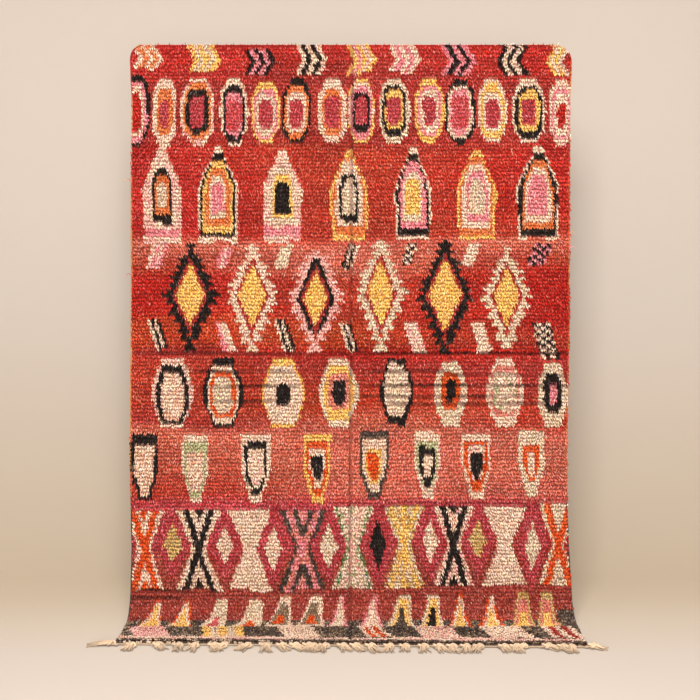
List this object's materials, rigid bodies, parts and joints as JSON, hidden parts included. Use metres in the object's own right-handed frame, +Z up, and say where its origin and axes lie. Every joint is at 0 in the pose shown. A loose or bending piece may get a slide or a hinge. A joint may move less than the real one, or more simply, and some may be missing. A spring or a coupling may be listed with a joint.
{
  "type": "boujad rug",
  "caption": "Hand-knotted wool pile rug with banded folk motifs, hung by its top edge, its lower end lying forward on the floor with a knotted fringe.",
  "frame": {"origin": "middle of the rug's top edge, on the back of the cloth, where it is hung", "axes": "+Z up along the hanging cloth, +X to the right seen from the pile side, +Y from the pile towards the wall behind; the floor is at z = -2.260"},
  "size_m": [1.811, 0.4591, 2.26],
  "materials": {
    "pile_wool": "hand-knotted wool pile, matt, madder red ground with many-coloured motifs",
    "selvedge_wool": "overcast wool yarn, matt",
    "warp_yarn": "undyed warp yarn, knotted and frayed, matt"
  },
  "bodies": {
    "root": {"rug": "pile_wool", "selvedge_left": "selvedge_wool", "selvedge_right": "selvedge_wool", "fringe": "warp_yarn"}
  },
  "joints": []
}
